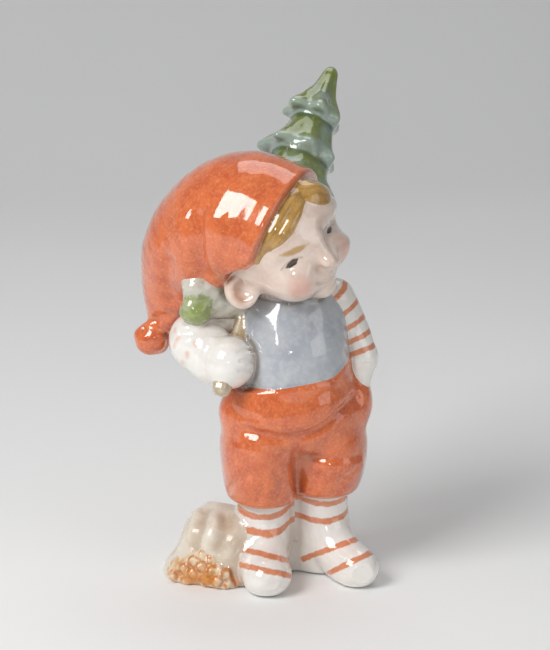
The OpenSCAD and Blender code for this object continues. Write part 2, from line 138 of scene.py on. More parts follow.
def rope(p, rows):
    """Round tube whose radius is taken at the nearest point of its middle line, for gentle bends."""
    near = wide = None
    for away, r in spans(p, rows):
        if near is None:
            near, wide = away, r
        else:
            wide = np.where(away < near, r, wide)
            near = np.minimum(near, away)
    return near - wide


def spline(rows, n=6):
    """Smooth rows through the given rows."""
    r = np.asarray(rows, float)
    r = np.vstack([2 * r[0] - r[1], r, 2 * r[-1] - r[-2]])
    made = []
    for i in range(1, len(r) - 2):
        a, b, c, d = r[i - 1 : i + 3]
        for k in range(n):
            t = k / n
            bend = 2 * a - 5 * b + 4 * c - d + t * (3 * b - a - 3 * c + d)
            made.append(b + 0.5 * t * (c - a + t * bend))
    made.append(r[-2])
    return np.array(made)


def blend(a, b, k):
    """Union with a soft fillet of size k."""
    h = np.maximum(k - np.abs(a - b), 0) / k
    return np.minimum(a, b) - h * h * k / 4


def trim(a, b, k):
    """What a and b share, with a soft edge of size k."""
    return -blend(-a, -b, k)


def loft(p, rows, edge=1.5):
    """Upright form of ellipses: rows of height, half width, half depth, middle x and middle y."""
    r = spline(rows, 8)
    z = np.clip(p[:, 2], r[0, 0], r[-1, 0])
    w, d, x, y = (np.interp(z, r[:, 0], r[:, i]) for i in (1, 2, 3, 4))
    u, v = (p[:, 0] - x) / w, (p[:, 1] - y) / d
    k = np.sqrt(u * u + v * v) + 1e-6
    side = k * (k - 1) / (np.sqrt((u / w) ** 2 + (v / d) ** 2) + 1e-9)
    ends = np.maximum(r[0, 0] - p[:, 2], p[:, 2] - r[-1, 0])
    return trim(side, ends, edge)


def to_line(p, points):
    """Distance to a line through points."""
    return tube(p, [[*q, 0.0] for q in points])


def groove(p, points, depth, width):
    """Depth to add along a line, negative for a ridge."""
    return depth * np.exp(-((to_line(p, points) / width) ** 2))


def grooved(d, p, lines, depth, width):
    """The distance d with a groove along each line."""
    for line in lines:
        d = d + groove(p, line, depth, width)
    return d


def ripple(p, size, seed):
    """Smooth uneven value between about -1 and 1, with lumps of about the given size."""
    random = np.random.default_rng(seed)
    total = np.zeros(len(p))
    for _ in range(5):
        way = unit(random.normal(size=3)) * 2 * math.pi / (size * random.uniform(0.8, 1.5))
        total += np.sin(p @ way + random.uniform(0, 6.28))
    return total / 2.6


class Form:
    """A sculpted shape with the box that holds the pieces made from it.

    Further off than its reach only the distance to the box is worked out.
    """

    reach = 3.0

    def __init__(self, shape, *names, room=1.8):
        boxes = [node_box(name) for name in names]
        self.shape = shape
        self.lo = np.min([lo for lo, _ in boxes], axis=0) - room
        self.hi = np.max([hi for _, hi in boxes], axis=0) + room

    def __call__(self, p):
        gap = size_of(np.maximum(np.maximum(self.lo - p, p - self.hi), 0))
        d = gap + self.reach
        near = gap < self.reach
        if near.any():
            d[near] = self.shape(p[near])
        return d


def camera_axes():
    a, e = math.radians(CAMERA_AZIMUTH), math.radians(CAMERA_ELEVATION)
    back = vec(math.sin(a) * math.cos(e), -math.cos(a) * math.cos(e), math.sin(e))
    side = vec(math.cos(a), math.sin(a), 0)
    return side, np.cross(back, side), back


CAMERA_SIDE, CAMERA_UP, CAMERA_BACK = camera_axes()


def seen(shape, *pixels):
    """Points of a shape that the photograph shows at the given pixels."""
    focal = CAMERA_LENS / CAMERA_SENSOR * PHOTO_H
    px = np.array(pixels, float)
    right, up = px[:, :1] - PHOTO_W / 2, PHOTO_H / 2 - px[:, 1:2]
    ways = CAMERA_SIDE * right / focal + CAMERA_UP * up / focal - CAMERA_BACK
    ways /= size_of(ways)[:, None]
    reach = np.full(len(px), LOOK_FROM)
    for _ in range(90):
        step = shape(CAMERA_AT + ways * reach[:, None])
        reach += np.where(reach < LOOK_TO, step * 0.8, 0)
    return CAMERA_AT + ways * reach[:, None]


def seen_lines(shape, *lines):
    """Lines over a shape, each through its own pixels."""
    return [seen(shape, *line) for line in lines]


# Legs: rows of the calf as height and radius, and of the sock as reach, height and radius
CALF_ROWS = ((3, ANKLE_R - 0.3), (9, ANKLE_R), (15, LEG_R - 0.4), (HEM_Z + 1, LEG_R))
SOCK_ROWS = ((0.5, 15, 5.7), (3.2, 10.0, 5.5), (8, 6.2, 5.3), (14.2, 4.7, 5.1))
FOOT_JOIN = 3.0


def leg(side):
    at = vec(side * LEG_X, 0, 0)
    axes = turned("z", side * FOOT_TURN[side])
    ahead = -axes[:, 1]
    calf = spline([[0, 0, z, r] for z, r in CALF_ROWS], 6)
    sock = [[*(ahead * out)[:2], z, r] for out, z, r in SOCK_ROWS]

    def shape(p):
        q = p - at
        heel = ellipsoid(q, vec(0, 0, 4.6) - ahead * 1.6, (5.6, 6.4, 5.2), axes)
        toe = ellipsoid(q, vec(0, 0, 4.7) + ahead * 12.9, (TOE_W[side], 7.6, 5.0), axes)
        d = blend(blend(rope(q, calf), heel, FOOT_JOIN), toe, FOOT_JOIN)
        for pair in zip(sock[:-1], sock[1:]):
            d = blend(d, tube(q, pair), FOOT_JOIN)
        return d

    return shape


right_leg, left_leg = leg(-1), leg(1)


def leg_web(p):
    q = np.abs(p - vec(0, 1.6, HEM_Z / 2)) - vec(4.2, 1.6, HEM_Z / 2)
    return size_of(np.maximum(q, 0)) + np.minimum(q.max(1), 0) - 0.4


def legs(p):
    return trim(blend(blend(right_leg(p), left_leg(p), 3), leg_web(p), 5), -p[:, 2], 1.0)


# Breeches and jumper
SEAT_ROWS = [
    [36.6, 12, 11.2, 0, 0],
    [40.7, 18.2, 14.6, 0, 0.2],
    [47.5, 20, 15.8, 0, 0.2],
    [57, 15.6, 14.4, 0, -1.0],
    [64.5, 14.6, 13.7, 0, -1.2],
]
TORSO_ROWS = [
    [48, 14.2, 13.2, 0, -1],
    [57, 14.5, 13.5, 0, -1.4],
    [65.4, 14.1, 13.2, 0, -1.6],
    [74.3, 13, 10.5, 0, -0.4],
    [78.6, 10.1, 9, 0, 0],
    [83, 7.5, 7.5, 0, 0],
]
HEM_DROP = {-1: 1.8, 1: 0.2}
HAND = vec(18.0, -2.4, 55.7)


def breeches_leg_rows(side):
    hem = HEM_Z - HEM_DROP[side]
    return [
        [hem, 8.4, 9.0, side * LEG_X, 0],
        [hem + 2.6, 9.6, 11.5, side * 8.66, 0],
        [31.5, 10.3, 13.5, side * 9.4, 0],
        [39.3, 10.1, 13.5, side * 9.57, 0],
        [45.4, 7.8, 11.3, side * 9.57, 0],
    ]


def above_waist(p):
    """Distance above the waist, which rises over the left pocket."""
    a, b = math.radians(WAIST_SLOPE), math.radians(POCKET_SLOPE)
    even = (p - vec(0, 0, WAIST_Z)) @ vec(-math.sin(a), 0, math.cos(a))
    pocket = (p - vec(POCKET_X, 0, WAIST_Z)) @ vec(-math.sin(b), 0, math.cos(b))
    return np.minimum(even, pocket)


def plain_breeches(p):
    seat = loft(p, SEAT_ROWS, 3)
    join = np.interp(p[:, 2], [HEM_Z, HEM_Z + 5, 36], [1.2, 3.5, 8])
    legs = blend(loft(p, breeches_leg_rows(-1), 2.2), loft(p, breeches_leg_rows(1), 2.2), join)
    pocket = ellipsoid(p, HAND + vec(-1.9, 0.2, -6.8), (4.9, 5.9, 7.0))
    return trim(blend(blend(seat, legs, 2.5), pocket, 3), above_waist(p), 1.2)


BELLY_FOLD = seen(
    plain_breeches, (247, 431), (265, 435), (285, 439), (302, 436), (320, 429), (340, 412), (357, 397))
BELLY = seen(plain_breeches, (262, 421), (285, 424), (306, 420), (326, 408))
CROTCH = seen(plain_breeches, (296, 438), (297, 455), (297, 472), (297, 488))
HEM_FOLDS = seen_lines(
    plain_breeches,
    [(228, 490), (240, 478), (252, 474)],
    [(258, 503), (264, 488), (262, 478)],
    [(280, 499), (282, 483), (277, 472)],
    [(311, 457), (335, 459), (358, 456)],
    [(312, 492), (316, 481), (322, 474)],
    [(338, 490), (343, 478), (354, 470)],
)
KNEE = seen(plain_breeches, (326, 467), (344, 469), (360, 465))
HIP_FOLDS = seen_lines(
    plain_breeches, [(230, 408), (244, 417), (258, 419)], [(340, 388), (350, 398), (360, 404)])


def breeches(p):
    d = plain_breeches(p)
    d = d + groove(p, BELLY_FOLD, 1.5, 1.4) - groove(p, BELLY, 0.8, 4.0) + groove(p, CROTCH, 0.8, 1.3)
    d = d - groove(p, KNEE, 0.7, 2.6)
    d = grooved(grooved(d, p, HEM_FOLDS, 0.5, 1.1), p, HIP_FOLDS, 0.4, 1.4)
    return d + 0.12 * ripple(p, 9, 3)


def torso(p):
    return loft(p, TORSO_ROWS, 1.5) + 0.08 * ripple(p, 9, 5)


# Head, ears and hair
def from_head(side, up, back):
    """Point given from the middle of the head along the axes of the camera."""
    return HEAD + CAMERA_SIDE * side + CAMERA_UP * up + CAMERA_BACK * back


# Hollow of the far eye, which runs on round the temple and shows in the outline
FAR_HOLLOW = [
    [*from_head(12.9, 1.2, 12.0), 2.4],
    [*from_head(15.8, 3.4, 6.0), 2.9],
    [*from_head(17.2, 4.6, 0), 3.3],
    [*from_head(17.4, 4.6, -6), 3.3],
]
NEAR_HOLLOW = from_head(2.4, -6.6, 15.2)


def plain_head(p):
    q = (p - HEAD) @ HEAD_AXES
    d = ellipsoid(q, vec(0, 0, 0), (HEAD_R, HEAD_R, HEAD_R))
    d = blend(d, ellipsoid(q, vec(-6.6, -8.8, -5.6), (7.4, 7.6, 7.0)), 2.6)
    d = blend(d, ellipsoid(q, vec(5.6, -9.2, -5.4), (5.8, 5.9, 5.6)), 2.0)
    d = d + 0.8 * np.exp(-((size_of(p - NEAR_HOLLOW) / 4.0) ** 2))
    d = d + 0.5 * np.exp(-((size_of(q - vec(0, -15.4, 2.6)) / 4.4) ** 2))
    return trim(d, -tube(p, FAR_HOLLOW), 3.0)


def over_head(height, *pixels):
    """Points at a height over the head, or under it where negative, at the given pixels."""
    at = seen(plain_head, *pixels)
    return at + (at - HEAD) / size_of(at - HEAD)[:, None] * height


NOSE = over_head(0.3, (327.5, 259.5))[0]
NOSE_BRIDGE = [*over_head(-1.7, (319, 243))[0], 1.9]
MUZZLE = from_head(9.6, -9.6, 5.2)
CHIN = from_head(10.0, -12.6, 1.6)
FOLD = seen(plain_head, (318, 266), (315.5, 273), (314, 281))


def faced_head(p):
    ball = ellipsoid(p, NOSE, (2.9, 2.8, 2.5), HEAD_AXES)
    nose = blend(ball, tube(p, [NOSE_BRIDGE, [*NOSE, 1.7]]), 1.5)
    muzzle = ellipsoid(p, MUZZLE, (3.9, 3.9, 3.6), HEAD_AXES)
    mouth = blend(muzzle, ellipsoid(p, CHIN, (3.9, 3.8, 3.7)), 1.2)
    return blend(blend(plain_head(p), mouth, 2.4), nose, 2.6) + groove(p, FOLD, 0.25, 1.6)


NOSE_EDGE = seen(
    faced_head, (334, 221), (330, 227), (327, 233.5), (328, 240), (332.5, 247.5), (337.5, 255))


def edged_head(p):
    return faced_head(p) + groove(p, NOSE_EDGE, 0.9, 1.2)


NEAR_EYE = seen(plain_head, (285.5, 268.3), (289.5, 265.4), (294, 262), (297.6, 258.9))
NEAR_LID = seen(plain_head, (281, 270), (286, 264), (293, 258.5), (302, 257))
NEAR_BROW = seen(plain_head, (279, 255.6), (288, 253.5), (298, 249), (308, 243.7))
FAR_EYE = seen(edged_head, (327.6, 233), (329.3, 230.5), (331, 227.5))
FAR_LID = seen(edged_head, (327, 231.5), (329, 227.5), (332.5, 225))
FAR_BROW = seen(edged_head, (327, 224), (330.5, 217), (332.5, 210))
MOUTH = seen(faced_head, (319, 281.6), (324, 282.4), (328.5, 280.8), (332, 278.5), (334, 276))
UNDER_NOSE = seen(faced_head, (321, 269.5), (326, 270.5), (331, 269))
CHEEKS = seen(plain_head, (301, 289), (346, 250))


def head(p):
    d = edged_head(p)
    for eye, lid in ((NEAR_EYE, NEAR_LID), (FAR_EYE, FAR_LID)):
        d = d + groove(p, eye, 0.12, 1.6) - groove(p, lid, 0.12, 0.7)
    for brow in (NEAR_BROW, FAR_BROW):
        d = d - groove(p, brow, 0.25, 2.0)
    return d + groove(p, MOUTH, 0.9, 0.7) + groove(p, UNDER_NOSE, 0.5, 0.9)


def square_axes(x, z):
    """Axes square to each other, with the third along z and the first near x."""
    z = unit(z)
    x = unit(x - (x @ z) * z)
    return np.stack([x, np.cross(z, x), z], 1)


EAR_AT = {-1: from_head(-11.2, -14.2, 4.6), 1: HEAD + HEAD_AXES @ turned("z", 16) @ vec(17.4, 0.5, -4.0)}
EAR_AXES = {
    -1: square_axes(from_head(0.45, 0, -0.9) - HEAD, from_head(-0.2, 1, 0) - HEAD),
    1: HEAD_AXES @ turned("z", 4) @ turned("y", 12),
}


def ear(side):
    def shape(p):
        q = (p - EAR_AT[side]) @ EAR_AXES[side]
        outer = ellipsoid(q, vec(-0.6 * side, -0.2, 0), (2.5, 4.9, 5.1))
        hollow = ellipsoid(q, vec(2.0 * side, -2.5, -0.2), (2.4, 3.2, 3.0))
        return trim(outer, -hollow, 1.6)

    return shape


right_ear, left_ear = ear(-1), ear(1)


def head_and_ears(p):
    return blend(head(p), np.minimum(right_ear(p), left_ear(p)), 2.4)


# Line along the inside of the right ear's hollow, where shade is painted
EAR_SHADE_LINE = seen(head_and_ears, (244, 279), (239, 284), (237, 290), (237, 296), (241, 300))


def lock(radii, *pixels):
    """Rows of a lock of hair that is sunk into the head along the pixels."""
    at = over_head(-0.55 * np.array(radii)[:, None], *pixels)
    return spline(np.column_stack([at, radii]), 9)


LOCKS = [
    lock((3.6, 4.7, 4.6, 2.8), (304, 188), (310, 190.5), (317, 191.5), (324, 191)),
    lock((2.4, 2.3, 2.1, 2.0, 1.7, 0.9),
        (303, 187), (292.5, 200), (282, 215), (274.5, 229), (266, 244), (257, 261)),
    lock((1.7, 1.9, 2.0, 1.6, 0.8), (299, 201), (294.5, 214), (287.5, 228), (279, 239), (269, 249)),
]


def strands(p):
    """Wave across the nearest lock, for painted strands."""
    dist = np.stack([tube(p, rows) for rows in LOCKS])
    value = np.zeros(len(p))
    for k, rows in enumerate(LOCKS):
        way = unit(rows[-1, :3] - rows[0, :3])
        across = unit(np.cross(way, rows[len(rows) // 2, :3] - HEAD))
        mine = dist.argmin(0) == k
        value[mine] = np.sin(3.4 * (p[mine] @ across) + 1.6 * ripple(p[mine], 5, 43))
    return value


def hair_fringe(p):
    d = tube(p, LOCKS[0])
    for rows in LOCKS[1:]:
        d = blend(d, rope(p, rows), 0.35)
    return d + 0.04 * ripple(p, 2.5, 41)


# Hat
HAT_ROWS = spline([
    [*HEAD, 19.0],
    [*(HEAD + vec(-9.0, 6.3, 2.9)), 18.5],
    [*(HEAD + vec(-17.8, 13.5, -3.7)), 16.0],
    [*(HEAD + vec(-22.5, 18.5, -12.8)), 12.2],
    [*(HEAD + vec(-25.2, 20.3, -22.9)), 8.0]], 5)
TIP_AT = HEAD + vec(-31.5, 19.4, -30.4)
# The hat ends above the right ear and leaves a ball of space for it
EAR_CUT = from_head(-10.4, -8.8, 13.6)
EAR_CUT_WAY = unit(from_head(0.4, -0.8, 0.15) - HEAD)
EAR_SPACE, EAR_SPACE_R = from_head(-11.0, -15.2, 8.0), 6.4


def plain_hat(p):
    rim = np.maximum(-((p - HEAD) @ RIM_WAY), (p - EAR_CUT) @ EAR_CUT_WAY)
    return trim(trim(tube(p, HAT_ROWS), rim, 1.6), EAR_SPACE_R - size_of(p - EAR_SPACE), 1.2)


HAT_VALLEYS = seen_lines(
    plain_hat, [(205, 274), (200, 260), (198, 240), (198, 218)], [(172, 300), (166, 280), (168, 262)])
HAT_RIDGES = seen_lines(
    plain_hat, [(218, 266), (217, 244), (213, 222)], [(186, 270), (182, 246), (182, 222)])
TIP_CREASE = seen(plain_hat, (146, 314), (158, 318), (171, 316))


def hat(p):
    d = grooved(plain_hat(p), p, HAT_VALLEYS, 1.5, 2.2)
    d = grooved(d, p, HAT_RIDGES, -0.9, 3.6)
    d = d + groove(p, TIP_CREASE, 0.8, 1.6)
    return np.maximum(d, -plain_head(p)) + 0.08 * ripple(p, 11, 7)


def hat_tip(p):
    q = (p - TIP_AT) @ turned("y", 20)
    roll = ellipsoid(q, vec(0, 0, -0.6), (4.9, 4.9, 4.9))
    neck = ellipsoid(q, vec(1.2, 0, 3.4), (3.9, 4.2, 2.6))
    turns = np.linspace(-2.6, 2.4, 9)
    curl = [[4.4 * math.cos(a), -3.4 + 0.6 * a, 3.6 * math.sin(a) - 1.0] for a in turns]
    d = blend(roll, neck, 0.9)
    return d + groove(q, curl, 0.7, 0.9) + 0.25 * ripple(p, 5, 11)


# Arms
RIGHT_SLEEVE_ROWS = spline([
    [-10.9, 6.4, 73, 5.8],
    [-19.4, 7.0, 68.7, 6.8],
    [-25.4, 2.6, 66.4, 7.5],
    [-23.7, 0, 64.2, 7.4],
    [-21.6, -2.5, 61.9, 6.8]], 4)
LEFT_SLEEVE_ROWS = spline([[11.2, 0.6, 76, 5.5], [14.8, 0.6, 69, 5.2], [17.8, -1.2, 60.8, 4.7]], 4)


def plain_right_sleeve(p):
    return tube(p, RIGHT_SLEEVE_ROWS)


SLEEVE_FOLDS = seen_lines(
    plain_right_sleeve, [(184, 336), (180, 346), (180, 356)], [(196, 340), (191, 352), (190, 366)])


def plain_fist(p):
    return ellipsoid(p, FIST + vec(-0.2, 0, 0.2), (6.8, 6.8, 7.0))


def plain_forearm(p):
    return np.minimum(plain_fist(p), plain_right_sleeve(p))


CUFF = seen(plain_forearm, (209, 341), (203, 355), (202.5, 371), (207, 387))
ELBOW_CREASE = seen(plain_right_sleeve, (180, 334), (192, 333), (206, 333), (222, 335))


def right_sleeve(p):
    d = plain_right_sleeve(p) + groove(p, CUFF, 0.2, 0.9) + groove(p, ELBOW_CREASE, 0.6, 1.1)
    return grooved(d, p, SLEEVE_FOLDS, 0.3, 1.3) + 0.1 * ripple(p, 7, 13)


def left_sleeve(p):
    return tube(p, LEFT_SLEEVE_ROWS)


FINGER_GAPS = seen_lines(
    plain_fist,
    [(239, 352), (246, 350), (252, 351)],
    [(241, 361), (248, 360), (253, 361)],
    [(240, 371), (247, 371), (252, 371)],
)


def right_fist(p):
    return grooved(plain_fist(p) + groove(p, CUFF, 0.2, 0.9), p, FINGER_GAPS, 0.4, 0.6)


def left_hand(p):
    return tube(p, [[*(HAND + vec(-0.2, 0.8, 3.3)), 4.3], [*(HAND + vec(-1.2, -0.8, -3.2)), 3.2]])


def left_arm(p):
    return blend(left_sleeve(p), left_hand(p), 2.5) + 0.08 * ripple(p, 7, 17)


# Tree
TRUNK_END, TRUNK_TOP = -9.4, 24.0
TIP_R = 1.7


def tree_local(p):
    return (p - FIST) @ TREE_AXES


def tree_trunk(p):
    q = tree_local(p)
    side = np.hypot(q[:, 0], q[:, 1]) - np.interp(q[:, 2], [-9, 0, 8, 20], [2.4, 2.5, 2.2, 2.7])
    side = side + 0.12 * np.sin(5 * np.arctan2(q[:, 1], q[:, 0]) + 0.25 * q[:, 2])
    return trim(side, np.maximum(TRUNK_END - q[:, 2], q[:, 2] - TRUNK_TOP), 2.0)


def bough(way, reach, droop, w):
    """Drooping bough from the top of the bare trunk, in the axes of the tree."""
    a = math.radians(way)
    x, y = reach * math.cos(a), reach * math.sin(a)
    rows = ((0.1, 0.1, w), (0.24, 0.3, w), (0.6, 0.6, w), (1.0, 1.0, 0.9 * w))
    return spline([[u * x, u * y, TREE_S[0] - v * droop, r] for u, v, r in rows], 4)


STUB = [bough(146, 16.7, 6.0, 4.2), bough(129, 14.1, 10.1, 3.8)]
# Bough that hangs over the sleeve and is painted green
STUB_LOBE = vec(-26.3, -1.8, 75.4)


def lowest_boughs(p):
    q = tree_local(p)
    boughs = blend(tube(q, STUB[0]), tube(q, STUB[1]), 3.0)
    return blend(boughs, ellipsoid(p, STUB_LOBE, (4.1, 3.4, 3.7)), 2.0) + 0.2 * ripple(p, 4, 21)


BELL = spline([[-0.2, 1], [0, 0.98], [0.14, 0.86], [0.34, 0.56], [0.6, 0.25], [1, 0]], 8)


def tier(i, droop, way, part, count=7):
    """Bell-shaped tier, counted from below, whose scalloped lips reach furthest towards the angle way."""
    r, s, top = TREE_R[i], TREE_S[i], TREE_S[i + 1]
    last = i == len(TREE_R) - 1
    neck = TIP_R if last else 0.58 * TREE_R[i + 1]

    def shape(p):
        q = tree_local(p)
        a = np.arctan2(q[:, 1], q[:, 0]) - math.radians(way)
        out = np.hypot(q[:, 0], q[:, 1])
        lobe = np.cos(count * a)
        reach = r * (1 - part * (1 - np.cos(a / 2) ** 4)) * (1 + 0.12 * lobe)
        lip = s - droop * r * (0.8 + 0.2 * lobe)
        t = (q[:, 2] - lip) / (top - lip)
        wide = neck + (reach - neck) * np.interp(t, BELL[:, 0], BELL[:, 1])
        side = (out - wide) * np.interp(t, [0, 0.1, 0.4, 1], [0.8, 0.62, 0.7, 0.92])
        under = (lip + 0.22 * (reach - out) - q[:, 2]) * 0.95
        bell = trim(side, under, 0.2 * r)
        return trim(bell, q[:, 2] - top - (0 if last else 2), 3.0)

    return shape


TIERS = {"lower_boughs": tier(1, 0.17, 50, 0.4), "middle_boughs": tier(2, 0.17, 110, 0.1),
    "upper_boughs": tier(3, 0.12, 110, 0.25), "tree_top": tier(4, 0.1, 160, 0.3)}


def crown(p):
    d = reduce(lambda a, b: blend(a, b, 2.2), [shape(p) for shape in TIERS.values()])
    return d + 0.12 * ripple(p, 6, 23)


# Stump and chips: rows of the stump as shares of its height, width and length, and a shift in x
STUMP_ROWS = spline([
    [0, 1, 1, 0],
    [0.25, 0.88, 0.9, 1.25],
    [0.5, 0.81, 0.84, 2.3],
    [0.75, 0.74, 0.78, 3.0],
    [1, 0.6, 0.65, 3.4],
    [1.2, 0.42, 0.5, 3.5]], 8)
# Front edge of the base, as a place and a direction away from it
BASE_EDGE, BASE_WAY = vec(-26.9, -6.3, 0), unit((-0.533, -0.846, 0))


def plain_stump(p):
    q = p - STUMP
    w, l, x = (np.interp(q[:, 2] / STUMP_TOP, STUMP_ROWS[:, 0], STUMP_ROWS[:, i]) for i in (1, 2, 3))
    w, l = w * STUMP_W / 2, l * STUMP_L / 2
    k = np.hypot((q[:, 0] - x) / w, q[:, 1] / l) + 1e-6
    side = trim((k - 1) * np.minimum(w, l) * 0.95, (p - BASE_EDGE) @ BASE_WAY + 0.8, 3.0)
    return trim(side, q[:, 2] - STUMP_TOP, 5.0)


BARK_RIDGES = seen_lines(
    plain_stump,
    [(184, 526), (177, 545), (170, 566)],
    [(197, 513), (189, 532), (181, 556)],
    [(217, 506), (212, 524), (207, 547)],
)
BARK_FURROWS = seen_lines(
    plain_stump,
    [(188, 523), (182, 534), (176, 548)],
    [(206, 511), (201, 528), (195, 546)],
    [(226, 516), (226, 530), (221, 546)],
)


def stump(p):
    d = grooved(plain_stump(p), p, BARK_RIDGES, -0.8, 2.8)
    d = grooved(d, p, BARK_FURROWS, 1.1, 2.0)
    q = p - STUMP
    behind = np.clip((q[:, 1] - 3) / 6, 0, 1)
    a = np.arctan2(q[:, 1], q[:, 0])
    far = np.clip(np.hypot(q[:, 0] - 3, q[:, 1]) / 6 - 0.5, 0, 1)
    d = d + far * behind * 0.5 * np.sin(7 * a + np.sin(3 * a) + 0.12 * q[:, 2])
    return d + 0.05 * ripple(p, 9, 27)


def sunk(at, depth):
    """Points moved in towards the middle of the stump."""
    out = (at - STUMP) * vec(1, 1, 0.4)
    return at - out / size_of(out)[:, None] * depth


HEAP_PIXELS = [(173, 575), (184, 572), (196, 570), (206, 563), (212, 574), (225, 580)]
HEAP_RADII = (4.4, 4.4, 4.4)
CHIP_HEAP = sunk(seen(plain_stump, *HEAP_PIXELS), 3.0)


def chip_bed(p):
    d = plain_stump(p) + 0.6
    for at in CHIP_HEAP:
        d = blend(d, ellipsoid(p, at, HEAP_RADII), 2.0)
    return d


CHIP_PIXELS = [(204, 556), (212, 560), (193, 561), (202, 567), (184, 569), (193, 574), (173, 575),
    (213, 572), (205, 580), (217, 582), (225, 575), (230, 585), (186, 582)]
CHIP_FACES = seen(chip_bed, *CHIP_PIXELS)


def chip_list():
    random = np.random.default_rng(29)
    chips = []
    for at in sunk(CHIP_FACES, 1.8):
        axes = turned("z", random.uniform(0, 180)) @ turned("x", random.uniform(-35, 35))
        chips.append((at, axes, vec(2.7, 2.1, 1.9) * random.uniform(0.85, 1.1)))
    return chips


CHIPS = chip_list()


def wood_chips(p):
    d = reduce(lambda a, b: blend(a, b, 2.0), [ellipsoid(p, at, HEAP_RADII) for at in CHIP_HEAP])
    for at, axes, radii in CHIPS:
        d = blend(d, ellipsoid(p, at, radii, axes), 0.6)
    return d + 0.2 * ripple(p, 2.4, 31)


STUMP_FORM, CHIPS_FORM = Form(stump, "stump"), Form(wood_chips, "wood_chips")


def legs_and_stump(p):
    return trim(blend(blend(legs(p), STUMP_FORM(p), 4), CHIPS_FORM(p), 0.8), -p[:, 2], 0.8)


class Body:
    """One smooth body and its pieces, which divide it where their own shapes are nearest."""

    def __init__(self, whole, **pieces):
        self.whole = Form(whole, *pieces)
        self.pieces = pieces


def alone(**piece):
    """Body of a single piece."""
    (shape,) = piece.values()
    return Body(shape, **piece)


BODIES = [
    Body(legs_and_stump, right_leg=right_leg, left_leg=left_leg, leg_web=leg_web, stump=STUMP_FORM,
        wood_chips=CHIPS_FORM),
    alone(breeches=breeches),
    alone(torso=torso),
    Body(head_and_ears, head=head, right_ear=right_ear, left_ear=left_ear),
    alone(hair_fringe=hair_fringe),
    alone(hat=hat),
    alone(hat_tip=hat_tip),
    alone(right_sleeve=right_sleeve),
    alone(right_fist=right_fist),
    Body(left_arm, left_sleeve=left_sleeve, left_hand=left_hand),
    alone(tree_trunk=tree_trunk),
    alone(lowest_boughs=lowest_boughs),
    Body(crown, **TIERS),
]
# Size of the mesh, where it is finer than usual
USUAL_STEP = 0.4
STEP = {"head": 0.28, "right_ear": 0.25, "left_ear": 0.35, "hair_fringe": 0.25, "right_fist": 0.3,
    "wood_chips": 0.3, "hat_tip": 0.3, "tree_top": 0.33, "upper_boughs": 0.35, "lowest_boughs": 0.33,
    "tree_trunk": 0.3}
# Room round the box of a piece, where it is wider than usual
USUAL_ROOM = 2.5
ROOM = {"hair_fringe": 4.6, "wood_chips": 4.6}
# How far off the surface its folds, which get painted shade, and its edges are felt
FOLD_REACH, EDGE_REACH = (0.8, 2.2), 1.0


